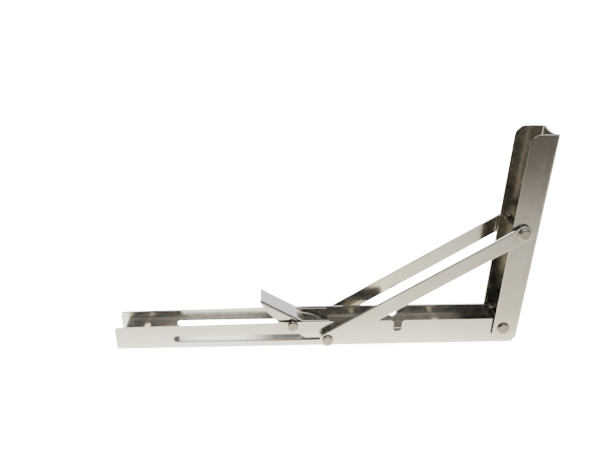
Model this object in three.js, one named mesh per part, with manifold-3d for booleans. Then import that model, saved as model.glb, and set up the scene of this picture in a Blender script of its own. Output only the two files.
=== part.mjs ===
// Folding shelf bracket: a long U-channel arm, a short U-channel arm hinged to its end,
// two brace bars that slide in a slot of the long arm, and a sprung release lever.
// Millimetres, +Z up. The long arm lies along X with its web on the ground plane, the
// short arm stands at its +X end, and the mid-plane of the bracket is y = 0.

import * as THREE from "three";
import { mergeVertices } from "three/addons/utils/BufferGeometryUtils.js";
import Module from "manifold-3d";

const wasm = await Module();
wasm.setup();

// ---------------------------------------------------------------- driving dimensions

// x is measured from the corner pivot in all of these; the root group shifts the whole
// assembly so that its bounding box is centred on the origin.
const SHEET = 2.0;
const ARM_TIP_X = -384.0;
const ARM_END_X = 13.3;
const ARM_WIDTH = 28.0;
const ARM_HEIGHT = 29.6;
const ARM_TIP_HEIGHT = 26.5;
const TAPER_END_X = -200.0;
const BEND_OUTER_R = 3.2;
const BEND_INNER_R = 1.2;
const TIP_CORNER_R = 4.0;

// free play between pieces that touch or turn on each other
const GAP = 0.3;
// half of the length of a cutter that passes right across the bracket
const CUT_HALF = 30;

const PIVOT_Z = 19.8;
const PIVOT_HOLE_R = 3.4;
const CORNER_PIN_R = 3.1;
const CORNER_HEAD_R = 6.0;
const CORNER_SLEEVE_R = [3.45, 5.0];
const HEAD_H = 1.9;

const SLOT_Z = 11.6;
const SLOT_HALF = 3.9;
const SLOT_LEFT_X = -324.5;
const SLOT_RIGHT_X = -177.4;

const NOTCH_X = -106.9;
const NOTCH_HALF = 4.2;
const NOTCH_CENTRE_Z = 20.4;
const NOTCH_FLARE_Z = 25.2;
const NOTCH_MOUTH_HALF = 8.2;

const ARM_SCREW_X = [-362, -144, -56];
const SCREW_R = 3.25;

const WALL_FACE_X = 16.0;
const WALL_FRONT_X = -10.4;
const WALL_WIDTH = 32.6;
const WALL_TOP_Z = 219.0;
const WALL_CORNER_R = 9.5;
const WALL_FOOT_R = 13.5;
const WALL_HEEL = 3.4;
const WALL_DIP = 2.2;
const WALL_DIP_MARGIN = 3.6;
const WALL_SCREW_Z = [46, 158, 196];

const BRACE_Z = 126.4;
const SLIDE_X = -176.9;
const SLIDE_Z = 12.1;
const BAR_THICK = 2.0;
const BAR_HALF = 7.7;
const BAR_INNER_Y = 18.0;
const BAR_HOLE_R = 3.3;

const BRACE_BORE_R = 2.95;
const BRACE_PIN_R = 2.6;
const BRACE_SLEEVE_R = [2.8, 3.4];
const BRACE_WASHER_R = 6.6;
const BRACE_RIVET_R = 2.9;
const BRACE_HEAD_R = 6.0;
const BRACE_HEAD_H = 1.9;
const WASHER_GAP = 0.2;

const SLIDE_PIN_R = 3.0;
const SLIDE_HEAD_R = 5.5;
const SPACER_R = [3.3, 5.4];

const LEVER_X = -211.1;
const LEVER_Z = 25.0;
const LEVER_SHEET = 1.5;
const LEVER_WIDTH = 23.4;
const LEVER_HUB_R = 7.0;
const LEVER_END_X = -174.4;
const LEVER_TOP_Z = 28.9;
const LEVER_END_Z = 16.0;
const PLATE_TIP = [-242.0, 53.8];
const PLATE_ROOT = [-205.4, 31.4];
const PLATE_BEND_R = 3.0;
const LEVER_BORE_R = 2.8;
const LEVER_PIN_R = 2.5;
const LEVER_HEAD_R = 5.25;
const LEVER_HEAD_H = 1.7;
// lower left edge of the side plates, from the tip of the thumb plate down to the hub
const LEVER_FRONT = [
  [-243.0, 51.9],
  [-238.3, 42.8],
  [-228.6, 32.0],
  [-225.7, 29.0],
  [-225.3, 26.2],
];
const SCOOP_X = 1.6;
const SCOOP_SHOULDER = 5.0;

const SPRING_R = 3.85;
const SPRING_WIRE_R = 0.8;
const SPRING_TURNS = 5;
const SPRING_HALF_Y = 5.4;
const SPRING_START = 0.22 * Math.PI;
// forward leg about the lever pin's axis, from its free end to the coil
const SPRING_LEG = [
  [31.0, -6.4],
  [27.0, -3.6],
  [21.0, -0.4],
  [14.0, 1.6],
  [7.0, 2.2],
];
const SPRING_TAIL = [6, 12, 18];

const HALF_LENGTH = (WALL_FACE_X - ARM_TIP_X) / 2;
const CENTRE_SHIFT = HALF_LENGTH - WALL_FACE_X;

// ---------------------------------------------------------------- materials

const steel = (color, roughness) =>
  new THREE.MeshStandardMaterial({ color, roughness, metalness: 1.0 });

const armSteel = () => steel(0xcfcbc5, 0.34);
const barSteel = () => steel(0xb4b2ae, 0.3);
const rivetSteel = () => steel(0xbdbab5, 0.28);
const leverSteel = () => steel(0xc8c3be, 0.36);
const springSteel = () => steel(0xd6d4d0, 0.22);

// ---------------------------------------------------------------- geometry helpers

// A closed three.js geometry as a solid for joining and cutting.
function toSolid(geometry) {
  const bare = geometry.clone();
  bare.deleteAttribute("normal");
  bare.deleteAttribute("uv");
  const merged = mergeVertices(bare, 1e-4);
  const vertProperties = new Float32Array(merged.attributes.position.array);
  const triVerts = new Uint32Array(merged.index.array);
  return new wasm.Manifold(new wasm.Mesh({ numProp: 3, vertProperties, triVerts }));
}

// The solid's surface as a three.js geometry.
function toGeometry(solid) {
  const mesh = solid.getMesh();
  const geometry = new THREE.BufferGeometry();
  const count = mesh.vertProperties.length / mesh.numProp;
  const position = new Float32Array(count * 3);
  for (let i = 0; i < count; i++) {
    for (let k = 0; k < 3; k++) {
      position[3 * i + k] = mesh.vertProperties[mesh.numProp * i + k];
    }
  }
  geometry.setAttribute("position", new THREE.BufferAttribute(position, 3));
  geometry.setIndex(new THREE.BufferAttribute(new Uint32Array(mesh.triVerts), 1));
  geometry.computeVertexNormals();
  return geometry;
}

// An outline drawn in (x, z), given thickness between y0 and y1.
function slabXZ(shape, y0, y1, curveSegments = 10) {
  const geometry = new THREE.ExtrudeGeometry(shape, {
    depth: y1 - y0,
    bevelEnabled: false,
    curveSegments,
  });
  geometry.rotateX(Math.PI / 2);
  geometry.translate(0, y1, 0);
  return geometry;
}

// An outline drawn in (y, z), given length between x0 and x1.
function barYZ(shape, x0, x1, curveSegments = 3) {
  const geometry = new THREE.ExtrudeGeometry(shape, {
    depth: x1 - x0,
    bevelEnabled: false,
    curveSegments,
  });
  const basis = new THREE.Matrix4().makeBasis(
    new THREE.Vector3(0, 1, 0),
    new THREE.Vector3(0, 0, 1),
    new THREE.Vector3(1, 0, 0),
  );
  geometry.applyMatrix4(basis);
  geometry.translate(x0, 0, 0);
  return geometry;
}

// U-section with its web along v = 0 and its legs towards +v, bends rounded.
function channelSection(width, depth) {
  const w = width / 2;
  const iw = w - SHEET;
  const ro = BEND_OUTER_R;
  const ri = BEND_INNER_R;
  const shape = new THREE.Shape();
  shape.moveTo(-w, depth);
  shape.lineTo(-w, ro);
  shape.absarc(-w + ro, ro, ro, Math.PI, 1.5 * Math.PI, false);
  shape.lineTo(w - ro, 0);
  shape.absarc(w - ro, ro, ro, -0.5 * Math.PI, 0, false);
  shape.lineTo(w, depth);
  shape.lineTo(iw, depth);
  shape.lineTo(iw, SHEET + ri);
  shape.absarc(iw - ri, SHEET + ri, ri, 0, -0.5 * Math.PI, true);
  shape.lineTo(-iw + ri, SHEET);
  shape.absarc(-iw + ri, SHEET + ri, ri, -0.5 * Math.PI, -Math.PI, true);
  shape.closePath();
  return shape;
}

function disc(x, z, r) {
  const shape = new THREE.Shape();
  shape.absarc(x, z, r, 0, 2 * Math.PI, false);
  return shape;
}

// A cutter across the whole width of the bracket, along Y.
function crossHole(x, z, r) {
  return toSolid(slabXZ(disc(x, z, r), -CUT_HALF, CUT_HALF, 14));
}

// A cutter through a web, along Z.
function webHoleZ(x, z0, z1, r) {
  const geometry = new THREE.CylinderGeometry(r, r, z1 - z0, 28);
  geometry.rotateX(Math.PI / 2);
  geometry.translate(x, 0, (z0 + z1) / 2);
  return toSolid(geometry);
}

// A cutter through a web, along X.
function webHoleX(z, x0, x1, r) {
  const geometry = new THREE.CylinderGeometry(r, r, x1 - x0, 28);
  geometry.rotateZ(Math.PI / 2);
  geometry.translate((x0 + x1) / 2, 0, z);
  return toSolid(geometry);
}

// A turned piece about an axis along Y; profile points are [radius, y].
function turned(profile, segments = 28) {
  const points = profile.map(([r, y]) => new THREE.Vector2(r, y));
  return new THREE.LatheGeometry(points, segments);
}

// A headed pin: shank between the two inner head faces at -y and +y.
function rivetProfile(shankR, innerY, headR, headH) {
  const edge = headH * 0.4;
  const crown = headR * 0.62;
  return [
    [0, -innerY - headH],
    [crown, -innerY - headH],
    [headR * 0.88, -innerY - headH * 0.8],
    [headR, -innerY - edge],
    [headR, -innerY],
    [shankR, -innerY],
    [shankR, innerY],
    [headR, innerY],
    [headR, innerY + edge],
    [headR * 0.88, innerY + headH * 0.8],
    [crown, innerY + headH],
    [0, innerY + headH],
  ];
}

// A plain tube along Y.
function tubeProfile(innerR, outerR, y0, y1) {
  return [
    [innerR, y0],
    [outerR, y0],
    [outerR, y1],
    [innerR, y1],
    [innerR, y0],
  ];
}

// A solid round pin along Y with small end chamfers.
function pinProfile(r, y0, y1) {
  const c = 0.3;
  return [
    [0, y0],
    [r - c, y0],
    [r, y0 + c],
    [r, y1 - c],
    [r - c, y1],
    [0, y1],
  ];
}

function named(name, geometry, material) {
  const mesh = new THREE.Mesh(geometry, material);
  mesh.name = name;
  return mesh;
}

// ---------------------------------------------------------------- shelf arm

// Side outline of the long arm: tapered towards the tip, cut back around the corner pivot
// so that the hinged arm's web can swing past it.
function shelfArmOutline() {
  const shape = new THREE.Shape();
  const r = ARM_END_X;
  const rise = ARM_HEIGHT - PIVOT_Z;
  const a = Math.asin(rise / r);
  shape.moveTo(ARM_TIP_X + 1, 0);
  shape.lineTo(ARM_END_X, 0);
  shape.lineTo(ARM_END_X, PIVOT_Z);
  shape.absarc(0, PIVOT_Z, r, 0, a, false);
  shape.lineTo(NOTCH_X + NOTCH_MOUTH_HALF, ARM_HEIGHT);
  shape.quadraticCurveTo(
    NOTCH_X + NOTCH_HALF,
    ARM_HEIGHT,
    NOTCH_X + NOTCH_HALF,
    NOTCH_FLARE_Z,
  );
  shape.lineTo(NOTCH_X + NOTCH_HALF, NOTCH_CENTRE_Z);
  shape.absarc(NOTCH_X, NOTCH_CENTRE_Z, NOTCH_HALF, 0, -Math.PI, true);
  shape.lineTo(NOTCH_X - NOTCH_HALF, NOTCH_FLARE_Z);
  shape.quadraticCurveTo(
    NOTCH_X - NOTCH_HALF,
    ARM_HEIGHT,
    NOTCH_X - NOTCH_MOUTH_HALF,
    ARM_HEIGHT,
  );
  shape.lineTo(TAPER_END_X, ARM_HEIGHT);
  const c = TIP_CORNER_R;
  shape.lineTo(ARM_TIP_X + c, ARM_TIP_HEIGHT);
  shape.quadraticCurveTo(ARM_TIP_X, ARM_TIP_HEIGHT, ARM_TIP_X, ARM_TIP_HEIGHT - c);
  shape.lineTo(ARM_TIP_X, 1);
  shape.closePath();
  return shape;
}

function slotOutline() {
  const shape = new THREE.Shape();
  shape.moveTo(SLOT_LEFT_X, SLOT_Z - SLOT_HALF);
  shape.lineTo(SLOT_RIGHT_X, SLOT_Z - SLOT_HALF);
  shape.absarc(SLOT_RIGHT_X, SLOT_Z, SLOT_HALF, -0.5 * Math.PI, 0.5 * Math.PI, false);
  shape.lineTo(SLOT_LEFT_X, SLOT_Z + SLOT_HALF);
  shape.absarc(SLOT_LEFT_X, SLOT_Z, SLOT_HALF, 0.5 * Math.PI, 1.5 * Math.PI, false);
  return shape;
}

function shelfArm() {
  const section = channelSection(ARM_WIDTH, ARM_HEIGHT);
  const channel = toSolid(barYZ(section, ARM_TIP_X - 5, ARM_END_X + 5));
  const outline = toSolid(slabXZ(shelfArmOutline(), -CUT_HALF, CUT_HALF));
  let arm = channel.intersect(outline);
  arm = arm.subtract(toSolid(slabXZ(slotOutline(), -CUT_HALF, CUT_HALF)));
  arm = arm.subtract(crossHole(0, PIVOT_Z, PIVOT_HOLE_R));
  arm = arm.subtract(crossHole(LEVER_X, LEVER_Z, LEVER_BORE_R));
  for (const x of ARM_SCREW_X) {
    arm = arm.subtract(webHoleZ(x, -3, SHEET + 3, SCREW_R));
  }
  return named("shelf_arm", toGeometry(arm), armSteel());
}

// ---------------------------------------------------------------- wall arm

// Side outline of the short arm: round foot about the corner pivot, chamfered heel,
// large radius on the free front corner.
function wallArmOutline() {
  const shape = new THREE.Shape();
  const drop = Math.sqrt(WALL_FOOT_R ** 2 - WALL_FRONT_X ** 2);
  const start = Math.atan2(-drop, WALL_FRONT_X) + 2 * Math.PI;
  shape.moveTo(WALL_FRONT_X, PIVOT_Z - drop);
  shape.absarc(0, PIVOT_Z, WALL_FOOT_R, start, 1.5 * Math.PI, false);
  shape.lineTo(WALL_FACE_X - WALL_HEEL, PIVOT_Z - WALL_FOOT_R);
  shape.lineTo(WALL_FACE_X, PIVOT_Z - WALL_FOOT_R + WALL_HEEL);
  shape.lineTo(WALL_FACE_X, WALL_TOP_Z);
  shape.lineTo(WALL_FRONT_X + WALL_CORNER_R, WALL_TOP_Z);
  shape.absarc(
    WALL_FRONT_X + WALL_CORNER_R,
    WALL_TOP_Z - WALL_CORNER_R,
    WALL_CORNER_R,
    0.5 * Math.PI,
    Math.PI,
    false,
  );
  shape.closePath();
  return shape;
}

// The shallow dished edge at the top of the web, between the flanges, drawn in (y, z).
function dipOutline() {
  const half = WALL_WIDTH / 2 - WALL_DIP_MARGIN;
  const shape = new THREE.Shape();
  shape.moveTo(-half, WALL_TOP_Z + 5);
  shape.lineTo(-half, WALL_TOP_Z);
  shape.quadraticCurveTo(0, WALL_TOP_Z - 2 * WALL_DIP, half, WALL_TOP_Z);
  shape.lineTo(half, WALL_TOP_Z + 5);
  shape.closePath();
  return shape;
}

function wallArm() {
  const depth = WALL_FACE_X - WALL_FRONT_X;
  const section = channelSection(WALL_WIDTH, depth);
  const geometry = new THREE.ExtrudeGeometry(section, {
    depth: WALL_TOP_Z + 10,
    bevelEnabled: false,
    curveSegments: 3,
  });
  // local x -> +y, local y (leg direction) -> -x, local z -> +z
  geometry.rotateZ(Math.PI / 2);
  geometry.translate(WALL_FACE_X, 0, -5);
  const outline = toSolid(slabXZ(wallArmOutline(), -CUT_HALF, CUT_HALF));
  let arm = toSolid(geometry).intersect(outline);
  const dip = toSolid(barYZ(dipOutline(), WALL_FACE_X - SHEET - 4, WALL_FACE_X + 4, 10));
  arm = arm.subtract(dip);
  arm = arm.subtract(crossHole(0, PIVOT_Z, PIVOT_HOLE_R));
  arm = arm.subtract(crossHole(0, BRACE_Z, BRACE_BORE_R));
  for (const z of WALL_SCREW_Z) {
    arm = arm.subtract(webHoleX(z, WALL_FACE_X - 6, WALL_FACE_X + 4, SCREW_R));
  }
  return named("wall_arm", toGeometry(arm), armSteel());
}

// ---------------------------------------------------------------- corner pivot

function cornerPivot() {
  const group = new THREE.Group();
  group.position.set(0, 0, PIVOT_Z);
  const inner = WALL_WIDTH / 2 + GAP;
  const sleeveEnd = ARM_WIDTH / 2 - SHEET - GAP;
  const pin = turned(rivetProfile(CORNER_PIN_R, inner, CORNER_HEAD_R, HEAD_H));
  const sleeve = turned(tubeProfile(...CORNER_SLEEVE_R, -sleeveEnd, sleeveEnd));
  group.add(named("corner_pin", pin, rivetSteel()));
  group.add(named("corner_sleeve", sleeve, rivetSteel()));
  return group;
}

// ---------------------------------------------------------------- brace

// Flat bar between two holes, drawn along +X from the slide hole at the local origin.
function barOutline(length) {
  const shape = new THREE.Shape();
  shape.moveTo(0, -BAR_HALF);
  shape.lineTo(length, -BAR_HALF);
  shape.absarc(length, 0, BAR_HALF, -0.5 * Math.PI, 0.5 * Math.PI, false);
  shape.lineTo(0, BAR_HALF);
  shape.absarc(0, 0, BAR_HALF, 0.5 * Math.PI, 1.5 * Math.PI, false);
  const slideHole = new THREE.Path();
  slideHole.absarc(0, 0, BAR_HOLE_R, 0, 2 * Math.PI, true);
  const topHole = new THREE.Path();
  topHole.absarc(length, 0, BAR_HOLE_R, 0, 2 * Math.PI, true);
  shape.holes.push(slideHole, topHole);
  return shape;
}

// The headed end that holds a bar's top hole; side is -1 or +1 along Y.
function braceRivet(side) {
  const under = BAR_INNER_Y + BAR_THICK + GAP;
  const top = under + BRACE_HEAD_H;
  const profile = [
    [0, BAR_INNER_Y],
    [BRACE_RIVET_R, BAR_INNER_Y],
    [BRACE_RIVET_R, under],
    [BRACE_HEAD_R, under],
    [BRACE_HEAD_R, under + BRACE_HEAD_H * 0.4],
    [BRACE_HEAD_R * 0.88, under + BRACE_HEAD_H * 0.8],
    [BRACE_HEAD_R * 0.62, top],
    [0, top],
  ];
  const geometry = turned(profile);
  if (side < 0) {
    geometry.rotateX(Math.PI);
  }
  return geometry;
}

function brace() {
  const rise = BRACE_Z - SLIDE_Z;
  const length = Math.hypot(SLIDE_X, rise);
  const tilt = Math.atan2(rise, -SLIDE_X);
  const group = new THREE.Group();
  group.position.set(SLIDE_X, 0, SLIDE_Z);
  group.rotation.y = -tilt;
  const outer = BAR_INNER_Y + BAR_THICK;
  const near = slabXZ(barOutline(length), -outer, -BAR_INNER_Y, 12);
  const far = slabXZ(barOutline(length), BAR_INNER_Y, outer, 12);
  group.add(named("brace_bar_near", near, barSteel()));
  group.add(named("brace_bar_far", far, barSteel()));
  const nearRivet = named("brace_rivet_near", braceRivet(-1), rivetSteel());
  const farRivet = named("brace_rivet_far", braceRivet(1), rivetSteel());
  nearRivet.position.x = length;
  farRivet.position.x = length;
  group.add(nearRivet);
  group.add(farRivet);
  return group;
}

// Cross pin, distance tube and washers at the top pivot, carried by the wall arm.
function bracePivot() {
  const group = new THREE.Group();
  group.position.set(0, 0, BRACE_Z);
  const pinEnd = BAR_INNER_Y - GAP;
  const sleeveEnd = WALL_WIDTH / 2 - SHEET - GAP;
  const washer0 = WALL_WIDTH / 2 + WASHER_GAP;
  const washer1 = BAR_INNER_Y - WASHER_GAP;
  const pin = turned(pinProfile(BRACE_PIN_R, -pinEnd, pinEnd));
  group.add(named("brace_pin", pin, rivetSteel()));
  const sleeve = turned(tubeProfile(...BRACE_SLEEVE_R, -sleeveEnd, sleeveEnd));
  group.add(named("brace_sleeve", sleeve, rivetSteel()));
  const nearWasher = turned(tubeProfile(BRACE_BORE_R, BRACE_WASHER_R, -washer1, -washer0));
  const farWasher = turned(tubeProfile(BRACE_BORE_R, BRACE_WASHER_R, washer0, washer1));
  group.add(named("brace_washer_near", nearWasher, rivetSteel()));
  group.add(named("brace_washer_far", farWasher, rivetSteel()));
  return group;
}

// ---------------------------------------------------------------- slide pin

function slide() {
  const group = new THREE.Group();
  group.position.set(SLIDE_X, 0, SLIDE_Z);
  const inner = BAR_INNER_Y + BAR_THICK + GAP;
  const collar0 = ARM_WIDTH / 2 + GAP;
  const collar1 = BAR_INNER_Y - GAP;
  const pin = turned(rivetProfile(SLIDE_PIN_R, inner, SLIDE_HEAD_R, HEAD_H));
  group.add(named("slide_pin", pin, rivetSteel()));
  const near = turned(tubeProfile(...SPACER_R, -collar1, -collar0));
  const far = turned(tubeProfile(...SPACER_R, collar0, collar1));
  group.add(named("slide_spacer_near", near, rivetSteel()));
  group.add(named("slide_spacer_far", far, rivetSteel()));
  return group;
}

// ---------------------------------------------------------------- release lever

const plateRun = PLATE_ROOT[0] - PLATE_TIP[0];
const plateRise = PLATE_TIP[1] - PLATE_ROOT[1];
const plateAngle = Math.atan2(plateRise, plateRun);

// Side outline of the lever, drawn in (x, z).
function leverOutline() {
  const shape = new THREE.Shape();
  const end = LEVER_END_X;
  const top = LEVER_TOP_Z;
  const bottom = LEVER_END_Z;
  shape.moveTo(PLATE_TIP[0], PLATE_TIP[1]);
  for (const [x, z] of LEVER_FRONT) {
    shape.lineTo(x, z);
  }
  shape.lineTo(LEVER_X - LEVER_HUB_R, LEVER_Z);
  shape.absarc(LEVER_X, LEVER_Z, LEVER_HUB_R, Math.PI, 1.5 * Math.PI, false);
  shape.lineTo(end - 1.7, bottom);
  shape.quadraticCurveTo(end, bottom, end, bottom + 1.7);
  shape.lineTo(end, top - 2.5);
  shape.quadraticCurveTo(end, top, end - 2.5, top);
  shape.lineTo(PLATE_ROOT[0] + 4, top);
  shape.lineTo(PLATE_ROOT[0], PLATE_ROOT[1]);
  shape.closePath();
  return shape;
}

// What is hollow between the two side plates: everything under the thumb plate.
function leverHollow() {
  const t = LEVER_SHEET;
  const c = Math.cos(plateAngle);
  const s = Math.sin(plateAngle);
  const ext = 12;
  const x0 = PLATE_TIP[0] - ext * c - t * s;
  const z0 = PLATE_TIP[1] + ext * s - t * c;
  const x1 = PLATE_ROOT[0] - t * s;
  const z1 = PLATE_ROOT[1] - t * c;
  const shape = new THREE.Shape();
  shape.moveTo(x0, z0);
  shape.lineTo(x0, 5);
  shape.lineTo(-165, 5);
  shape.lineTo(-165, 40);
  shape.lineTo(PLATE_ROOT[0] + 4.2, 40);
  shape.lineTo(PLATE_ROOT[0] + 4.2, z1);
  shape.lineTo(x1, z1);
  shape.closePath();
  return shape;
}

// Envelope that rounds the two long edges of the thumb plate.
function leverEnvelope() {
  const w = LEVER_WIDTH / 2;
  const r = PLATE_BEND_R;
  const section = new THREE.Shape();
  section.moveTo(-w, -60);
  section.lineTo(w, -60);
  section.lineTo(w, -r);
  section.absarc(w - r, -r, r, 0, 0.5 * Math.PI, false);
  section.lineTo(-w + r, 0);
  section.absarc(-w + r, -r, r, 0.5 * Math.PI, Math.PI, false);
  section.closePath();
  const sloped = barYZ(section, -70, 3);
  sloped.rotateY(plateAngle);
  sloped.translate(PLATE_ROOT[0], 0, PLATE_ROOT[1]);
  const block = new THREE.BoxGeometry(60, LEVER_WIDTH, 60);
  block.translate(PLATE_ROOT[0] + 29.5, 0, 20);
  return toSolid(sloped).add(toSolid(block));
}

// The scooped right-hand edge of the thumb plate, drawn in (x, y).
function leverScoop() {
  const w = LEVER_WIDTH / 2 - LEVER_SHEET;
  const x = PLATE_ROOT[0];
  const shape = new THREE.Shape();
  shape.moveTo(x + 8, -w);
  shape.lineTo(x + 8, w);
  shape.lineTo(x + 2.6, w);
  shape.quadraticCurveTo(x - 1.4, w - 0.6, x - SCOOP_X, w - SCOOP_SHOULDER);
  shape.lineTo(x - SCOOP_X, -w + SCOOP_SHOULDER);
  shape.quadraticCurveTo(x - 1.4, -w + 0.6, x + 2.6, -w);
  shape.closePath();
  const geometry = new THREE.ExtrudeGeometry(shape, {
    depth: 18,
    bevelEnabled: false,
    curveSegments: 8,
  });
  geometry.translate(0, 0, 20);
  return geometry;
}

function releaseLever() {
  const w = LEVER_WIDTH / 2;
  let lever = toSolid(slabXZ(leverOutline(), -w, w, 12));
  lever = lever.intersect(leverEnvelope());
  const hollow = slabXZ(leverHollow(), -w + LEVER_SHEET, w - LEVER_SHEET);
  lever = lever.subtract(toSolid(hollow));
  lever = lever.subtract(toSolid(leverScoop()));
  lever = lever.subtract(crossHole(LEVER_X, LEVER_Z, LEVER_BORE_R));
  return named("release_lever", toGeometry(lever), leverSteel());
}

function leverPin() {
  const inner = ARM_WIDTH / 2 + GAP;
  const pin = turned(rivetProfile(LEVER_PIN_R, inner, LEVER_HEAD_R, LEVER_HEAD_H));
  const mesh = named("lever_pin", pin, rivetSteel());
  mesh.position.set(LEVER_X, 0, LEVER_Z);
  return mesh;
}

// Torsion spring: one leg under the thumb plate, the coil around the lever pin, the other
// leg curving down over the slide pin. Built about the lever pin's axis.
function leverSpring() {
  const points = [];
  const half = SPRING_HALF_Y;
  const put = (x, y, z) => points.push(new THREE.Vector3(x, y, z));
  for (const [x, z] of SPRING_LEG) {
    put(x, half, z);
  }
  const from = SPRING_START;
  const to = 0.5 * Math.PI - plateAngle + 2 * Math.PI * SPRING_TURNS;
  const steps = SPRING_TURNS * 12;
  for (let i = 0; i <= steps; i++) {
    const f = i / steps;
    const a = from + (to - from) * f;
    put(SPRING_R * Math.cos(a), half - 2 * half * f, SPRING_R * Math.sin(a));
  }
  const last = points[points.length - 1].clone();
  const dx = -Math.cos(plateAngle);
  const dz = Math.sin(plateAngle);
  for (const run of SPRING_TAIL) {
    put(last.x + dx * run, -half, last.z + dz * run);
  }
  const path = new THREE.CatmullRomCurve3(points, false, "centripetal");
  const wire = new THREE.Shape();
  wire.absarc(0, 0, SPRING_WIRE_R, 0, 2 * Math.PI, false);
  const geometry = new THREE.ExtrudeGeometry(wire, {
    steps: 116,
    curveSegments: 4,
    bevelEnabled: false,
    extrudePath: path,
  });
  const mesh = named("lever_spring", geometry, springSteel());
  mesh.position.set(LEVER_X, 0, LEVER_Z);
  return mesh;
}

// ---------------------------------------------------------------- assembly

const bracket = new THREE.Group();
bracket.position.x = CENTRE_SHIFT;
bracket.add(shelfArm());
bracket.add(wallArm());
bracket.add(cornerPivot());
bracket.add(brace());
bracket.add(bracePivot());
bracket.add(slide());
bracket.add(releaseLever());
bracket.add(leverPin());
bracket.add(leverSpring());

const root = new THREE.Group();
root.add(bracket);

export default root;
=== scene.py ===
"""Folding shelf bracket in brushed stainless steel: finishes, fine geometry, light and camera."""

import math

import bmesh
import bpy
from mathutils import Matrix, Vector


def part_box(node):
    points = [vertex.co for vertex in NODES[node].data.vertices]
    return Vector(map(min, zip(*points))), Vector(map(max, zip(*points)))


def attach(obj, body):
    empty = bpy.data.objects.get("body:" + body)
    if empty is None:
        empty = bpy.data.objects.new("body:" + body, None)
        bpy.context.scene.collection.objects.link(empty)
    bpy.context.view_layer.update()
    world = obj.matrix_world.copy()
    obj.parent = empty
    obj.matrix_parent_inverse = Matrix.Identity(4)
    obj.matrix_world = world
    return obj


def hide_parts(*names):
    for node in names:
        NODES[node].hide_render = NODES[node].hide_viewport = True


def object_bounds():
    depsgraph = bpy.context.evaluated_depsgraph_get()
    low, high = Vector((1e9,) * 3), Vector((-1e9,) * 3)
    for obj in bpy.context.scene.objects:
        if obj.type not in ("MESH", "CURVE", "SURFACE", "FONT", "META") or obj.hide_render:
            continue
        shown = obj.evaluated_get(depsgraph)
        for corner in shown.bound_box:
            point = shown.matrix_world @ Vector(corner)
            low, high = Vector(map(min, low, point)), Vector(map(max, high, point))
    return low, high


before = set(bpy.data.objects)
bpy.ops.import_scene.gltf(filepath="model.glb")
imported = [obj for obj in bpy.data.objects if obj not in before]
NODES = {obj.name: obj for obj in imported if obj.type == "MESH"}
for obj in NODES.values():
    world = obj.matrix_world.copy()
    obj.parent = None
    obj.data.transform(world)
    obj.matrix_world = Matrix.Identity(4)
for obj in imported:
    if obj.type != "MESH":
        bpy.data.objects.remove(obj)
cad_lo, cad_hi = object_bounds()
MM = 0.001

# ------------------------------------------------------------------ driving values

# Camera: lens in mm, place from the middle of the CAD box in metres, turn in degrees.
CAMERA_LENS = 33.297
CAMERA_SENSOR = 36.0
CAMERA_OFFSET = (-0.0473, -0.4630, 0.2410)
CAMERA_YAW, CAMERA_PITCH, CAMERA_ROLL = 3.254, 25.580, -0.925

# Steel tones: each finish is clouded between a light and a dark one.
ARM_TONES = ((0.485, 0.468, 0.435), (0.42, 0.403, 0.37))
BAR_TONES = ((0.57, 0.548, 0.505), (0.49, 0.468, 0.425))
LEVER_TONES = ((0.53, 0.512, 0.483), (0.46, 0.443, 0.413))
RIVET_TONES = ((0.25, 0.232, 0.2), (0.19, 0.176, 0.15))
# Lighter copy of the rivet tones for the brace rivets: painted light that makes those heads look
# brighter, not wear.
PAINTED_LIGHT_RIVET_TONES = ((0.40, 0.373, 0.325), (0.32, 0.298, 0.255))
SPRING_TONES = ((0.36, 0.35, 0.335), (0.28, 0.27, 0.26))
ROSY, BLUISH = (1.0, 0.985, 0.985), (0.985, 1.0, 1.0)

# Grain: noise cycles per metre along and across the rolling direction; the coarse lines
# have a share of the fine ones' frequency.
GRAIN_ALONG, GRAIN_ACROSS = 14.0, 2600.0
COARSE_FREQUENCY = 0.2
FINE_SHARE, COARSE_SHARE = 0.35, 0.65
CLOUD_SCALE, HUE_SCALE, SMUDGE_SCALE = 30.0, 55.0, 75.0
SCRATCH_SCALE, SCRATCH_TURN = (900.0, 60.0, 60.0), (0.0, 0.7, 0.5)

# Share of metal in the shading: the shelf arm also catches a little of the paper's own light.
METAL, SHELF_METAL = 0.998, 0.99

# How far the smudges, the grain and the scratches change the roughness and the relief,
# and how much brighter the deburred edges are.
SMUDGE_ROUGH, GRAIN_ROUGH, SCRATCH_ROUGH = 0.06, 0.03, 0.12
RELIEF_STRENGTH, RELIEF_DEPTH, SCRATCH_RELIEF = 0.006, 0.25 * MM, -0.5
EDGE_GLEAM_WIDTH, EDGE_GLEAM_SHARE, EDGE_GLEAM = 0.6 * MM, 0.6, 1.18

# Rounding of the sheet's cut edges, and of the bars' outer edges, rolled over by the blanking die.
EDGE_ROUND = {"shelf_arm": 0.4 * MM, "wall_arm": 0.28 * MM,
              "brace_bar_near": 0.7 * MM, "brace_bar_far": 0.7 * MM}
LEVER_EDGE_ROUND = 0.35 * MM
ROLL_OVER_R = 1.9 * MM
ROLL_OVER_START, ROLL_OVER_FULL = 1.6 * MM, 0.6 * MM

# Rivet heads: straight rim and shoulder as shares of the head's height and radius.
HEAD_RIM, HEAD_SHOULDER = 0.38, 0.26
HEAD_STEPS = 8
BRACE_RIVET_R, BRACE_RIVET_HEAD_R, BRACE_RIVET_SHANK = 2.9 * MM, 6.0 * MM, 2.3 * MM

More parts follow.
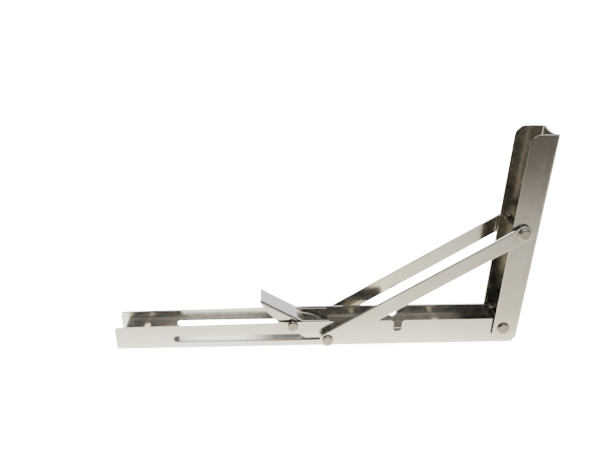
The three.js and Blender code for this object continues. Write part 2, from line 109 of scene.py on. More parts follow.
# Release lever and its spring in mm from the lever pin: the thumb plate runs from tip to root.
PLATE_TIP, PLATE_ROOT = (-30.9, 28.8), (5.7, 6.4)
PLATE_LEAN = math.atan2(PLATE_TIP[1] - PLATE_ROOT[1], PLATE_ROOT[0] - PLATE_TIP[0])
LEVER_SHEET, LEVER_HUB_R, LEVER_BORE_R = 1.5, 7.0, 2.8
LEVER_END, LEVER_TOP, LEVER_BOTTOM, TOOTH_BOTTOM = 36.7, 3.9, -9.0, -17.6
PLATE_BEND_R = 3.0
COIL_R, COIL_HALF, COIL_TURNS, WIRE_R = 3.85, 5.4, 5, 0.78

# Studio: the paper floor and wall, in metres.
PAPER_RADIUS, PAPER_CURVE, PAPER_TOP, PAPER_DROP = 2.2, 1.0, 4.0, 0.4 * MM
PAPER_GLOW = 9.0
PAPER_SEGMENTS = 64

# What the steel mirrors. Floor: brightness against Y in metres, and a warmer tint close by.
FLOOR_PEAK = 6.0
FLOOR_FALL = [(-1.2, 0.20), (-0.75, 0.28), (-0.56, 0.38), (-0.45, 0.62), (-0.35, 1.05),
              (-0.25, 1.8), (-0.15, 2.4), (-0.08, 2.8), (-0.04, 4.0), (-0.015, 5.8),
              (0.02, 6.0), (0.1, 2.8), (0.25, 1.0), (0.8, 0.5)]
FLOOR_FROM_Y, FLOOR_TO_Y = -1.2, 0.8
FLOOR_REACH, FLOOR_DROP = 2.6, 0.2 * MM
FLOOR_DIM_X, FLOOR_DIM = (0.10, 0.30), 0.72
FLOOR_TINT, FLOOR_TINT_NEAR = (1.0, 0.93, 0.79), (0.88, 0.81, 0.635)
NEAR_X, NEAR_Y = (-0.12, 0.03), (-0.25, -0.08)

# Walls and ceiling: brightness against the sine of the elevation, for five directions.
DOME_RADIUS = 2.8
DOME_PEAK = 6.5
DOME_BACK_LEFT = [(0.0, 1.1), (0.2, 2.0), (0.42, 4.8), (0.6, 6.5), (0.8, 5.0), (1.0, 4.5)]
DOME_BACK = [(0.0, 1.1), (0.12, 1.9), (0.28, 1.8), (0.42, 0.35), (0.6, 0.15), (0.85, 1.2),
             (1.0, 4.5)]
DOME_BACK_RIGHT = [(0.0, 1.1), (0.12, 1.9), (0.28, 2.2), (0.42, 2.0), (0.6, 1.8), (0.85, 2.6),
                   (1.0, 4.5)]
DOME_LEFT = [(0.0, 0.2), (0.5, 0.2), (0.6, 0.45), (0.8, 0.3), (0.92, 2.0), (1.0, 4.5)]
DOME_FRONT = [(0.0, 0.14), (0.3, 0.14), (0.5, 0.3), (0.64, 0.6), (0.82, 1.8), (1.0, 4.5)]
TO_BACK_X, TO_BACK_RIGHT_X, TO_LEFT_X = (-0.075, -0.025), (0.06, 0.16), (-0.17, -0.26)
FRONT_TO_BACK_Y = (-0.35, 0.35)

# Plain soft light for everything else.
WORLD_COLOUR, WORLD_STRENGTH = (0.96, 0.97, 1.0, 1.0), 0.5
OVERHEAD_AT, OVERHEAD_AIM = (0.1, 0.5, 1.6), (0.0, 0.05, 0.0)
OVERHEAD_SIZE, OVERHEAD_POWER = 1.6, 90.0


# ------------------------------------------------------------------ camera

def make_camera():
    """The photograph's view: from the front, a little to the left, looking down."""
    cam = bpy.data.cameras.new("camera")
    cam.sensor_width = CAMERA_SENSOR
    cam.lens = CAMERA_LENS
    cam.clip_start = 0.01
    cam.clip_end = 50.0
    obj = bpy.data.objects.new("camera", cam)
    bpy.context.scene.collection.objects.link(obj)
    yaw, pitch, roll = (math.radians(a) for a in (CAMERA_YAW, CAMERA_PITCH, CAMERA_ROLL))
    forward = Vector((math.sin(yaw) * math.cos(pitch),
                      math.cos(yaw) * math.cos(pitch), -math.sin(pitch)))
    level = Vector((math.cos(yaw), -math.sin(yaw), 0.0))
    steep = forward.cross(level)
    right = math.cos(roll) * level + math.sin(roll) * steep
    down = -math.sin(roll) * level + math.cos(roll) * steep
    obj.rotation_mode = "QUATERNION"
    obj.rotation_quaternion = Matrix((right, -down, -forward)).transposed().to_quaternion()
    obj.location = (cad_lo + cad_hi) / 2 + Vector(CAMERA_OFFSET)
    bpy.context.scene.camera = obj


# ------------------------------------------------------------------ shader nodes

def link(tree, a, b):
    tree.links.new(a, b)


def object_coords(tree):
    return tree.nodes.new("ShaderNodeTexCoord").outputs["Object"]


def separate(tree, vector):
    n = tree.nodes.new("ShaderNodeSeparateXYZ")
    link(tree, vector, n.inputs[0])
    return n.outputs


def math_node(tree, op, a, b, clamp=False):
    n = tree.nodes.new("ShaderNodeMath")
    n.operation = op
    n.use_clamp = clamp
    for socket, v in zip(n.inputs, (a, b)):
        if isinstance(v, (int, float)):
            socket.default_value = v
        else:
            link(tree, v, socket)
    return n.outputs[0]


def vector_node(tree, op, a, b=None):
    """A vector operation; a and b are sockets or constants. Returns the node."""
    n = tree.nodes.new("ShaderNodeVectorMath")
    n.operation = op
    for socket, v in zip(n.inputs, (a, b)):
        if isinstance(v, tuple):
            socket.default_value = v
        elif v is not None:
            link(tree, v, socket)
    return n


def noise(tree, vector, scale, detail, rough=0.55, distortion=0.0):
    n = tree.nodes.new("ShaderNodeTexNoise")
    n.inputs["Scale"].default_value = scale
    n.inputs["Detail"].default_value = detail
    n.inputs["Roughness"].default_value = rough
    n.inputs["Distortion"].default_value = distortion
    link(tree, vector, n.inputs["Vector"])
    return n.outputs["Fac"]


def remap(tree, value, a, b, c=0.0, d=1.0):
    """value from the range a..b to the range c..d, held at the ends."""
    n = tree.nodes.new("ShaderNodeMapRange")
    for name, v in (("From Min", a), ("From Max", b), ("To Min", c), ("To Max", d)):
        n.inputs[name].default_value = v
    link(tree, value, n.inputs["Value"])
    return n.outputs[0]


def stretched(tree, vector, scale, rotation):
    """vector turned back by rotation, where there is one, then scaled."""
    if rotation:
        turn = tree.nodes.new("ShaderNodeMapping")
        turn.vector_type = "TEXTURE"
        turn.inputs["Rotation"].default_value = rotation
        link(tree, vector, turn.inputs["Vector"])
        vector = turn.outputs[0]
    n = tree.nodes.new("ShaderNodeMapping")
    n.inputs["Scale"].default_value = scale
    link(tree, vector, n.inputs["Vector"])
    return n.outputs[0]


def mix(tree, factor, a, b, kind="RGBA"):
    """Blend of two colours or two vectors; each is a socket or a constant colour."""
    n = tree.nodes.new("ShaderNodeMix")
    n.data_type = kind
    link(tree, factor, n.inputs["Factor"])
    for name, value in (("A", a), ("B", b)):
        socket = next(i for i in n.inputs if i.name == name and i.type == kind)
        if isinstance(value, tuple):
            socket.default_value = (*value, 1.0)
        else:
            link(tree, value, socket)
    return next(o for o in n.outputs if o.type == kind)


def ramp(tree, value, stops, peak):
    """Smooth grey curve: stops are (position 0..1, brightness), and peak becomes 1."""
    n = tree.nodes.new("ShaderNodeValToRGB")
    n.color_ramp.interpolation = "B_SPLINE"
    elements = n.color_ramp.elements
    while len(elements) < len(stops):
        elements.new(0.5)
    for e, (position, brightness) in zip(elements, stops):
        grey = brightness / peak
        e.position = position
        e.color = (grey, grey, grey, 1.0)
    link(tree, value, n.inputs["Fac"])
    return n.outputs["Color"]


def rounded_normal(tree, radius, samples):
    n = tree.nodes.new("ShaderNodeBevel")
    n.samples = samples
    n.inputs["Radius"].default_value = radius
    return n.outputs[0]


# ------------------------------------------------------------------ steel

def grain_lines(tree, coords, axis, tilt):
    """Fine and coarse rolling lines, 0..1, along one axis, which tilt turns about Y."""
    scale = tuple(GRAIN_ALONG if a == axis else GRAIN_ACROSS for a in "xyz")
    coarse_scale = tuple(v * COARSE_FREQUENCY for v in scale)
    rotation = (0.0, -tilt, 0.0) if tilt else None
    fine = noise(tree, stretched(tree, coords, scale, rotation), 1.0, 3.0, 0.6)
    coarse = noise(tree, stretched(tree, coords, coarse_scale, rotation), 1.0, 4.0, 0.6)
    return math_node(tree, "ADD", math_node(tree, "MULTIPLY", fine, FINE_SHARE),
                     math_node(tree, "MULTIPLY", coarse, COARSE_SHARE))


def scratches(tree, coords):
    """Sparse longer scratches across the grain: 1 in a scratch, else 0."""
    streaks = noise(tree, stretched(tree, coords, SCRATCH_SCALE, SCRATCH_TURN), 1.0, 2.0, 0.5)
    return remap(tree, streaks, 0.70, 0.78)


def steel_colour(tree, coords, lines, tones, normal):
    """Cloudy tone with faint rosy and bluish patches and slightly brighter edges."""
    light, dark = tones
    cloud = noise(tree, coords, CLOUD_SCALE, 3.0, 0.5, 0.3)
    tone = math_node(tree, "ADD", remap(tree, cloud, 0.35, 0.65, 0.0, 0.6),
                     remap(tree, lines, 0.3, 0.7, 0.0, 0.4), True)
    hue = remap(tree, noise(tree, coords, HUE_SCALE, 2.0, 0.5, 0.5), 0.4, 0.6)
    base = vector_node(tree, "MULTIPLY", mix(tree, tone, dark, light),
                       mix(tree, hue, ROSY, BLUISH)).outputs[0]
    turned = vector_node(tree, "DOT_PRODUCT", rounded_normal(tree, EDGE_GLEAM_WIDTH, 4), normal)
    edge = remap(tree, turned.outputs["Value"], 0.995, 0.90, 0.0, EDGE_GLEAM_SHARE)
    return mix(tree, edge, base, tuple(min(1.0, c * EDGE_GLEAM) for c in light))


def steel_roughness(tree, coords, lines, scratch, rough, grain):
    """Roughness with faint smudges and grain streaks, and rougher scratches."""
    smudge = noise(tree, coords, SMUDGE_SCALE, 6.0, 0.7, 1.2)
    r = remap(tree, smudge, 0.35, 0.72, rough - SMUDGE_ROUGH / 2, rough + SMUDGE_ROUGH / 2)
    streak = math_node(tree, "MULTIPLY", remap(tree, lines, 0.4, 0.65, -0.5, 0.5),
                       GRAIN_ROUGH * grain)
    r = math_node(tree, "ADD", r, streak)
    return math_node(tree, "ADD", r, math_node(tree, "MULTIPLY", scratch, SCRATCH_ROUGH), True)


def steel_relief(tree, lines, scratch, grain, normal):
    """Bump of the grain and the scratches, on top of normal where one is given."""
    bump = tree.nodes.new("ShaderNodeBump")
    bump.inputs["Strength"].default_value = RELIEF_STRENGTH * grain
    bump.inputs["Distance"].default_value = RELIEF_DEPTH
    link(tree, math_node(tree, "ADD", lines, math_node(tree, "MULTIPLY", scratch, SCRATCH_RELIEF)),
         bump.inputs["Height"])
    if normal:
        link(tree, normal, bump.inputs["Normal"])
    return bump.outputs[0]


def rolled_over(tree, coords, normal, outer):
    """Widely rounded edges on the faces that lie outer from the mid-plane, plain ones elsewhere."""
    distance = math_node(tree, "ABSOLUTE", separate(tree, coords)["Y"], 0.0)
    reach = remap(tree, distance, outer - ROLL_OVER_START, outer - ROLL_OVER_FULL)
    return mix(tree, reach, normal, rounded_normal(tree, ROLL_OVER_R, 8), "VECTOR")


def spread_across_grain(tree, bsdf, normal, axis, tilt, amount):
    """The grain spreads reflections across itself and keeps them sharp along it."""
    bsdf.inputs["Anisotropic"].default_value = amount
    to_world = tree.nodes.new("ShaderNodeVectorTransform")
    to_world.vector_type = "VECTOR"
    to_world.convert_from = "OBJECT"
    to_world.convert_to = "WORLD"
    to_world.inputs[0].default_value = {"x": (math.cos(tilt), 0.0, math.sin(tilt)),
                                        "y": (0.0, 1.0, 0.0), "z": (0.0, 0.0, 1.0)}[axis]
    across = vector_node(tree, "CROSS_PRODUCT", normal, to_world.outputs[0]).outputs[0]
    # the small offset keeps the direction defined on faces square to the grain
    tangent = vector_node(tree, "ADD", across, (0.002, 0.003, 0.001)).outputs[0]
    link(tree, tangent, bsdf.inputs["Tangent"])


def steel(name, tones, rough, axis="x", tilt=0.0, grain=1.0, spread=0.0, outer=None, metal=METAL):
    """Rolled and fine-brushed stainless: grain lines along one axis, cloudy sheen, faint marks."""
    m = bpy.data.materials.new(name)
    m.use_nodes = True
    t = m.node_tree
    bsdf = t.nodes["Principled BSDF"]
    bsdf.inputs["Metallic"].default_value = metal
    coords = object_coords(t)
    normal = t.nodes.new("ShaderNodeNewGeometry").outputs["Normal"]
    lines = grain_lines(t, coords, axis, tilt)
    scratch = scratches(t, coords)
    link(t, steel_colour(t, coords, lines, tones, normal), bsdf.inputs["Base Color"])
    link(t, steel_roughness(t, coords, lines, scratch, rough, grain), bsdf.inputs["Roughness"])
    shape = rolled_over(t, coords, normal, outer) if outer else None
    link(t, steel_relief(t, lines, scratch, grain, shape), bsdf.inputs["Normal"])
    if spread:
        spread_across_grain(t, bsdf, normal, axis, tilt, spread)
    return m


# ------------------------------------------------------------------ mesh helpers

def new_object(name, bm):
    bmesh.ops.recalc_face_normals(bm, faces=bm.faces[:])
    me = bpy.data.meshes.new(name)
    bm.to_mesh(me)
    bm.free()
    return add_object(name, me)


def add_object(name, data):
    obj = bpy.data.objects.new(name, data)
    bpy.context.scene.collection.objects.link(obj)
    return obj


def shade_smooth(obj):
    for p in obj.data.polygons:
        p.use_smooth = True


def set_material(obj, material):
    obj.data.materials.clear()
    obj.data.materials.append(material)


def arc(cx, cy, r, a0, a1, n):
    """Points on an arc, angles in degrees."""
    angles = [math.radians(a0 + (a1 - a0) * i / n) for i in range(n + 1)]
    return [(cx + r * math.cos(a), cy + r * math.sin(a)) for a in angles]


def lathe(name, profile, centre, segments):
    """A turned piece about an axis along Y. profile is a list of (radius, y offset)."""
    bm = bmesh.new()
    rings = []
    for r, y in profile:
        if r < 1e-7:
            rings.append([bm.verts.new((centre[0], y + centre[1], centre[2]))])
            continue
        angles = [2 * math.pi * i / segments for i in range(segments)]
        rings.append([bm.verts.new((centre[0] + r * math.cos(a), y + centre[1],
                                    centre[2] + r * math.sin(a))) for a in angles])
    for p, q in zip(rings, rings[1:]):
        for i in range(segments):
            j = (i + 1) % segments
            if len(p) == 1:
                bm.faces.new((p[0], q[j], q[i]))
            elif len(q) == 1:
                bm.faces.new((p[i], p[j], q[0]))
            else:
                bm.faces.new((p[i], p[j], q[j], q[i]))
    bmesh.ops.remove_doubles(bm, verts=bm.verts[:], dist=1e-7)
    obj = new_object(name, bm)
    shade_smooth(obj)
    return obj


def prism(name, outline, lo, hi, axis):
    """A closed prism in mm: outline in (x, z) pushed along Y, (y, z) along X, or (x, y) along Z."""
    place = {"y": lambda a, b, c: (a, c, b), "x": lambda a, b, c: (c, a, b),
             "z": lambda a, b, c: (a, b, c)}[axis]
    bm = bmesh.new()
    ends = [[bm.verts.new(place(a * MM, b * MM, c * MM)) for a, b in outline] for c in (lo, hi)]
    n = len(outline)
    for i in range(n):
        j = (i + 1) % n
        bm.faces.new((ends[0][i], ends[0][j], ends[1][j], ends[1][i]))
    bm.faces.new(ends[0])
    bm.faces.new(ends[1])
    return new_object(name, bm)


def combine(obj, other, operation):
    """Boolean of two closed solids, applied to obj's mesh; other is used up."""
    m = obj.modifiers.new("combine", "BOOLEAN")
    m.operation = operation
    m.solver = "EXACT"
    m.object = other
    me = evaluated_mesh(obj)
    obj.modifiers.clear()
    obj.data = me
    bpy.data.objects.remove(other)


def evaluated_mesh(obj):
    dg = bpy.context.evaluated_depsgraph_get()
    return bpy.data.meshes.new_from_object(obj.evaluated_get(dg))


def polish_edges(obj, width):
    """Merge the flat facets, then round every sharp edge a little and even out the shading."""
    weld = obj.modifiers.new("weld", "WELD")
    weld.merge_threshold = 1e-6
    flatten = obj.modifiers.new("flatten", "DECIMATE")
    flatten.decimate_type = "DISSOLVE"
    flatten.angle_limit = math.radians(0.4)
    edges = obj.modifiers.new("edges", "BEVEL")
    edges.width = width
    edges.segments = 3
    edges.limit_method = "ANGLE"
    edges.angle_limit = math.radians(38.0)
    edges.use_clamp_overlap = True
    shading = obj.modifiers.new("shading", "WEIGHTED_NORMAL")
    shading.mode = "FACE_AREA"
    shading.weight = 80
    shading.keep_sharp = False
    shade_smooth(obj)


def middle(node):
    """Centre and half size of a CAD piece's box."""
    lo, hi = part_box(node)
    return (lo + hi) / 2, (hi - lo) / 2


# ------------------------------------------------------------------ finishes

def bar_tilt():
    """Slope of the brace bars: from the pin in the slots up to the pin in the wall arm."""
    run = middle("brace_pin")[0] - middle("slide_pin")[0]
    return math.atan2(run.z, run.x)


make_camera()

shelf_mat = steel("shelf_arm_steel", ARM_TONES, 0.15, spread=0.5, metal=SHELF_METAL)
wall_mat = steel("wall_arm_steel", ARM_TONES, 0.17, "z", spread=0.5)
bar_mat = steel("bar_steel", BAR_TONES, 0.17, tilt=bar_tilt(), spread=0.5,
                outer=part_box("brace_bar_far")[1].y)
lever_mat = steel("lever_steel", LEVER_TONES, 0.19, spread=0.4)
rivet_mat = steel("rivet_steel", RIVET_TONES, 0.22, "y", grain=0.5)
# The brace rivets' lighter copy of the rivet steel is painted light.
painted_light_rivet_mat = steel("rivet_steel_painted_light", PAINTED_LIGHT_RIVET_TONES, 0.24, "y", grain=0.5)
spring_mat = steel("spring_steel", SPRING_TONES, 0.2, grain=0.4)

for node, material in (("shelf_arm", shelf_mat), ("wall_arm", wall_mat),
                       ("brace_bar_near", bar_mat), ("brace_bar_far", bar_mat)):
    set_material(NODES[node], material)
    polish_edges(NODES[node], EDGE_ROUND[node])


# ------------------------------------------------------------------ turned pieces

def fine_head(shank, head, inner, height):
    """Half profile of a headed pin at +y: shank, rim, rounded shoulder and slightly dished crown."""
    profile = [(shank, 0.0), (shank, inner - 0.05 * MM), (shank + 0.1 * MM, inner)]
    rim_top = inner + height * HEAD_RIM
    profile += [(head - 0.15 * MM, inner), (head, inner + 0.12 * MM), (head, rim_top)]
    for i in range(1, HEAD_STEPS + 1):
        a = math.radians(90 * i / HEAD_STEPS)
        profile.append((head - head * HEAD_SHOULDER * (1 - math.cos(a)),
                        rim_top + height * (1 - HEAD_RIM) * math.sin(a)))
    crown = profile[-1][0]
    profile += [(crown * r, inner + height * h) for r, h in ((0.7, 0.985), (0.35, 0.975), (0.0, 0.97))]
    return profile


def turned(node, body, profile, centre, material=None, segments=96):
    """A turned piece that takes the place of a CAD one."""
    obj = lathe(node + "_turned", profile, centre, segments)
    set_material(obj, material or rivet_mat)
    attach(obj, body)
    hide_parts(node)


def headed_pin(node, body, shank, head, inner):
    """A pin headed at both ends: radii of shank and head, and the head's inner face, in mm."""
    centre, size = middle(node)
    half = fine_head(shank * MM, head * MM, inner * MM, size.y - inner * MM)
    turned(node, body, [(r, -y) for r, y in reversed(half)] + half[1:], centre)


def collar(node, body, bore, chamfer=0.22):
    """A washer, collar or distance tube with broken edges; bore radius and chamfer in mm."""
    centre, size = middle(node)
    r, y, bore = size.z, size.y, bore * MM
    k = min(chamfer * MM, y * 0.3, (r - bore) * 0.3)
    profile = [(bore, -y + k), (bore + k, -y), (r - k, -y), (r, -y + k), (r, y - k),
               (r - k, y), (bore + k, y), (bore, y - k), (bore, -y + k)]
    turned(node, body, profile, centre, segments=80)


def brace_rivet(node, side):
    """The headed end of the bars' top pin on one side, down to the bar's inner face."""
    lo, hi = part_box(node)
    centre = (lo + hi) / 2
    base, top = sorted((abs(lo.y), abs(hi.y)))
    inner = base + BRACE_RIVET_SHANK
    chamfer = 0.2 * MM
    half = [(0.0, base), (BRACE_RIVET_R - chamfer, base), (BRACE_RIVET_R, base + chamfer)]
    half += fine_head(BRACE_RIVET_R, BRACE_RIVET_HEAD_R, inner, top - inner)[1:]
    # the lighter rivet steel on these heads is painted light
    turned(node, "brace_body", [(r, side * y) for r, y in half], (centre.x, 0.0, centre.z),
           painted_light_rivet_mat)


def brace_pin():
    """The plain middle of the bars' top pin, which stays on the wall arm."""
    centre, size = middle("brace_pin")
    r, y, k = size.z, size.y, 0.3 * MM
    profile = [(0, -y), (r - k, -y), (r, -y + k), (r, y - k), (r - k, y), (0, y)]
    turned("brace_pin", "wall_arm_body", profile, centre)


headed_pin("corner_pin", "shelf_arm_body", 3.1, 6.0, 16.6)
headed_pin("lever_pin", "shelf_arm_body", 2.5, 5.25, 14.3)
headed_pin("slide_pin", "slide_body", 3.0, 5.5, 20.3)
collar("corner_sleeve", "shelf_arm_body", 3.45)
collar("brace_sleeve", "wall_arm_body", 2.8)
for side in ("near", "far"):
    collar("brace_washer_" + side, "wall_arm_body", 2.95, 0.15)
for side in ("near", "far"):
    collar("slide_spacer_" + side, "slide_body", 3.3)
brace_rivet("brace_rivet_near", -1)
brace_rivet("brace_rivet_far", 1)
brace_pin()


# ------------------------------------------------------------------ release lever

def lever_outline():
    """Side plate in (x, z): up to the thumb plate's tip, round the hub, tooth, and rounded end."""
    tooth, end, top, bottom = TOOTH_BOTTOM, LEVER_END, LEVER_TOP, LEVER_BOTTOM
    outline = [PLATE_TIP, (-31.9, 26.9), (-27.2, 17.8), (-17.5, 7.0), (-14.6, 4.0), (-14.2, 1.2)]
    outline += arc(0, 0, LEVER_HUB_R, 180, 262, 12)
    outline += [(8.2, -12.4), (14.2, -16.8)] + arc(17.0, tooth + 2.5, 2.5, 225, 270, 4)
    outline += arc(25.6, tooth + 1.4, 1.4, 270, 330, 4) + arc(0, 0, 33.0, -29.0, -15.9, 8)
    outline += arc(end - 1.7, bottom + 1.7, 1.7, -90, 0, 6)
    outline += arc(end - 2.5, top - 2.5, 2.5, 0, 90, 8)
    return outline + [(PLATE_ROOT[0] + 4, top), PLATE_ROOT]


def thumb_plate_envelope(half):
    """What the rounded shoulders of the thumb plate leave, with all that lies beyond its root."""
    bend = PLATE_BEND_R
    section = [(-half, -60), (half, -60)] + arc(half - bend, -bend, bend, 0, 90, 8)
    section += arc(-half + bend, -bend, bend, 90, 180, 8)
    envelope = prism("tmp_shoulder", section, -70, 3, "x")
    envelope.data.transform(Matrix.Translation((PLATE_ROOT[0] * MM, 0, PLATE_ROOT[1] * MM))
                            @ Matrix.Rotation(PLATE_LEAN, 4, "Y"))
    x0 = PLATE_ROOT[0] - 0.5
    beyond = [(x0, -32), (x0 + 60, -32), (x0 + 60, 28), (x0, 28)]
    combine(envelope, prism("tmp_block", beyond, -half, half, "y"), "UNION")
    return envelope


def lever_hollow(inner):
    """The open space between the side plates, under the thumb plate."""
    c, s = math.cos(PLATE_LEAN), math.sin(PLATE_LEAN)
    under = (PLATE_ROOT[0] - LEVER_SHEET * s, PLATE_ROOT[1] - LEVER_SHEET * c)
    beyond = (PLATE_TIP[0] - 12 * c - LEVER_SHEET * s, PLATE_TIP[1] + 12 * s - LEVER_SHEET * c)
    back = PLATE_ROOT[0] + 4.2
    outline = [beyond, (beyond[0], -30), (46, -30), (46, 15), (back, 15), (back, under[1]), under]
    return prism("tmp_hollow", outline, -inner, inner, "y")


def plate_scoop(inner):
    """The cut that leaves the root edge of the thumb plate hollow between rounded corners."""
    corner = [(2.6, 0.0), (-0.2, 1.2), (-1.2, 2.8), (-1.6, 5.0)]
    x = PLATE_ROOT[0]
    outline = [(x + 8, -inner), (x + 8, inner)] + [(x + dx, inner - dy) for dx, dy in corner]
    outline += [(x + dx, dy - inner) for dx, dy in reversed(corner)]
    return prism("tmp_scoop", outline, -5, 13, "z")


def make_lever():
    """Bent-up sheet lever with two side plates, whose teeth stand behind the slide pin."""
    half = middle("release_lever")[1].y / MM
    inner = half - LEVER_SHEET
    bore = arc(0, 0, LEVER_BORE_R, 0, 352.5, 47)
    lever = prism("lever_pressed", lever_outline(), -half, half, "y")
    combine(lever, thumb_plate_envelope(half), "INTERSECT")
    combine(lever, lever_hollow(inner), "DIFFERENCE")
    combine(lever, plate_scoop(inner), "DIFFERENCE")
    combine(lever, prism("tmp_bore", bore, -30, 30, "y"), "DIFFERENCE")
    lever.data.transform(Matrix.Translation(middle("lever_pin")[0]))
    set_material(lever, lever_mat)
    polish_edges(lever, LEVER_EDGE_ROUND)
    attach(lever, "lever_body")
    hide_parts("release_lever")


make_lever()


# ------------------------------------------------------------------ lever spring

def spring_path():
    """Wire from the long leg, round the coil on the pin, to the leg under the thumb plate."""
    half, coil = COIL_HALF * MM, COIL_R * MM
    leg = [(31.0, -6.4), (27.0, -3.6), (21.0, -0.4), (14.0, 1.6), (7.0, 2.2)]
    path = [Vector((x * MM, half, z * MM)) for x, z in leg]
    start = 0.22 * math.pi
    end = 0.5 * math.pi - PLATE_LEAN + 2 * math.pi * COIL_TURNS
    steps = COIL_TURNS * 24
    for i in range(steps + 1):
        f = i / steps
        a = start + (end - start) * f
        path.append(Vector((coil * math.cos(a), half - 2 * half * f, coil * math.sin(a))))
    last = path[-1].copy()
    along_plate = Vector((-math.cos(PLATE_LEAN), 0, math.sin(PLATE_LEAN)))
    return path + [last + along_plate * run * MM for run in (6, 12, 18)]


def make_spring():
    """Torsion spring of round wire on the lever pin."""
    path = spring_path()
    centre = middle("lever_pin")[0]
    curve = bpy.data.curves.new("lever_spring_wire", "CURVE")
    curve.dimensions = "3D"
    curve.bevel_depth = WIRE_R * MM
    curve.bevel_resolution = 6
    curve.use_fill_caps = True
    wire = curve.splines.new("NURBS")
    wire.points.add(len(path) - 1)
    for point, offset in zip(wire.points, path):
        point.co = (*(offset + centre), 1.0)
    wire.use_endpoint_u = True
    wire.order_u = 3
    wire.resolution_u = 4
    tmp = add_object("tmp_wire", curve)
    me = evaluated_mesh(tmp)
    bpy.data.objects.remove(tmp)
    spring = add_object("lever_spring_wire", me)
    shade_smooth(spring)
    set_material(spring, spring_mat)
    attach(spring, "lever_body")
    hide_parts("lever_spring")


make_spring()


# ------------------------------------------------------------------ floor and light

def paper_material():
    m = bpy.data.materials.new("paper")
    m.use_nodes = True
    t = m.node_tree
    bsdf = t.nodes["Principled BSDF"]
    fibres = noise(t, object_coords(t), 3.0, 3.0)
    link(t, mix(t, fibres, (0.86, 0.86, 0.855), (0.90, 0.90, 0.895)), bsdf.inputs["Base Color"])
    bsdf.inputs["Roughness"].default_value = 0.9
    bsdf.inputs["Specular IOR Level"].default_value = 0.1
    bsdf.inputs["Emission Color"].default_value = (1.0, 0.995, 0.985, 1.0)
    bsdf.inputs["Emission Strength"].default_value = PAPER_GLOW
    return m


def cyclorama():
    """A pale floor that curves up into a wall all round; the steel doesn't mirror it."""
    n = PAPER_SEGMENTS
    profile = [(PAPER_RADIUS, 0.0)]
    profile += arc(PAPER_RADIUS, PAPER_CURVE, PAPER_CURVE, -90, 0, 12)[1:]
    profile += [(PAPER_RADIUS + PAPER_CURVE, PAPER_TOP)]
    bm = bmesh.new()
    centre = bm.verts.new((0, 0, -PAPER_DROP))
    rows = [[bm.verts.new((r * math.cos(a), r * math.sin(a), z - PAPER_DROP))
             for a in (2 * math.pi * i / n for i in range(n))] for r, z in profile]
    for i in range(n):
        j = (i + 1) % n
        bm.faces.new((centre, rows[0][i], rows[0][j]))
        for p, q in zip(rows, rows[1:]):
            bm.faces.new((p[i], p[j], q[j], q[i]))
    obj = new_object("cyclorama", bm)
    shade_smooth(obj)
    set_material(obj, paper_material())
    obj.visible_glossy = False


def reflector(name, bm, build, peak):
    """A glowing surface that only the steel's reflections meet."""
    m = bpy.data.materials.new(name)
    m.use_nodes = True
    m.cycles.emission_sampling = "NONE"
    t = m.node_tree
    t.nodes.clear()
    out = t.nodes.new("ShaderNodeOutputMaterial")
    glow = t.nodes.new("ShaderNodeEmission")
    link(t, glow.outputs[0], out.inputs["Surface"])
    link(t, build(t), glow.inputs["Color"])
    glow.inputs["Strength"].default_value = peak
    obj = new_object(name, bm)
    set_material(obj, m)
    obj.visible_camera = False
    obj.visible_diffuse = False
    obj.visible_transmission = False
    obj.visible_volume_scatter = False
    obj.visible_shadow = False
    return obj


def floor_glow(t):
    """Bright close to the bracket, falling off in front, dimmer at the right, warmer near it."""
    place = separate(t, object_coords(t))
    length = FLOOR_TO_Y - FLOOR_FROM_Y
    stops = [((y - FLOOR_FROM_Y) / length, v) for y, v in FLOOR_FALL]
    grey = ramp(t, remap(t, place["Y"], FLOOR_FROM_Y, FLOOR_TO_Y), stops, FLOOR_PEAK)
    dimmed = vector_node(t, "SCALE", grey)
    link(t, remap(t, place["X"], *FLOOR_DIM_X, 1.0, FLOOR_DIM), dimmed.inputs["Scale"])
    near = math_node(t, "MULTIPLY", remap(t, place["X"], *NEAR_X), remap(t, place["Y"], *NEAR_Y))
    tint = mix(t, near, FLOOR_TINT, FLOOR_TINT_NEAR)
    return vector_node(t, "MULTIPLY", dimmed.outputs[0], tint).outputs[0]


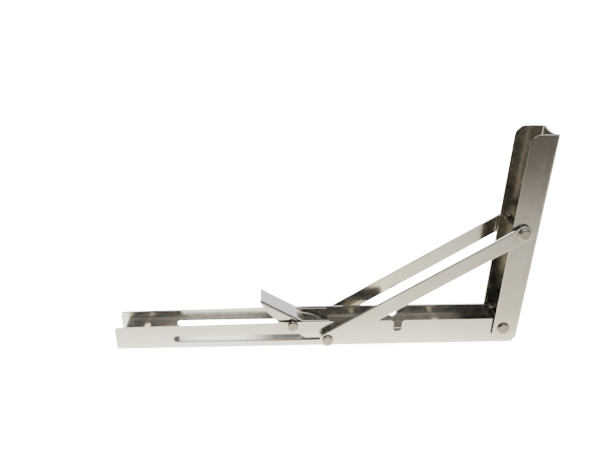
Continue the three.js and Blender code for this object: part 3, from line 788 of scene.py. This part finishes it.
def dome_glow(t):
    """Dim room in front and on the left, soft light above, bright and dark panels behind."""
    towards = separate(t, vector_node(t, "NORMALIZE", object_coords(t)).outputs[0])
    height = remap(t, towards["Z"], 0.0, 1.0)
    back_left, back, back_right, left, front = (
        ramp(t, height, stops, DOME_PEAK)
        for stops in (DOME_BACK_LEFT, DOME_BACK, DOME_BACK_RIGHT, DOME_LEFT, DOME_FRONT))
    behind = mix(t, remap(t, towards["X"], *TO_BACK_X), back_left, back)
    behind = mix(t, remap(t, towards["X"], *TO_BACK_RIGHT_X), behind, back_right)
    room = mix(t, remap(t, towards["Y"], *FRONT_TO_BACK_Y), front, behind)
    return mix(t, remap(t, towards["X"], *TO_LEFT_X), room, left)


def reflector_floor():
    """The paper round the bracket, as the steel sees it."""
    bm = bmesh.new()
    bmesh.ops.create_grid(bm, x_segments=1, y_segments=1, size=FLOOR_REACH)
    reflector("reflector_floor", bm, floor_glow, FLOOR_PEAK).location = (0, 0, -FLOOR_DROP)


def reflector_dome():
    """The room round the bracket, as the steel sees it."""
    bm = bmesh.new()
    bmesh.ops.create_uvsphere(bm, u_segments=48, v_segments=24, radius=DOME_RADIUS)
    reflector("reflector_dome", bm, dome_glow, DOME_PEAK)


def world_light():
    """Faint even light from all round."""
    world = bpy.data.worlds.new("studio")
    bpy.context.scene.world = world
    world.use_nodes = True
    background = world.node_tree.nodes["Background"]
    background.inputs["Color"].default_value = WORLD_COLOUR
    background.inputs["Strength"].default_value = WORLD_STRENGTH


def overhead_light():
    """A soft square light above and behind, seen neither directly nor in the steel."""
    data = bpy.data.lights.new("overhead", "AREA")
    data.shape = "RECTANGLE"
    data.size = OVERHEAD_SIZE
    data.size_y = OVERHEAD_SIZE
    data.energy = OVERHEAD_POWER
    obj = bpy.data.objects.new("overhead", data)
    obj.location = OVERHEAD_AT
    obj.rotation_mode = "QUATERNION"
    aim = Vector(OVERHEAD_AIM) - Vector(OVERHEAD_AT)
    obj.rotation_quaternion = aim.to_track_quat("-Z", "Y")
    obj.visible_camera = False
    obj.visible_glossy = False
    bpy.context.scene.collection.objects.link(obj)


cyclorama()
reflector_floor()
reflector_dome()
world_light()
overhead_light()
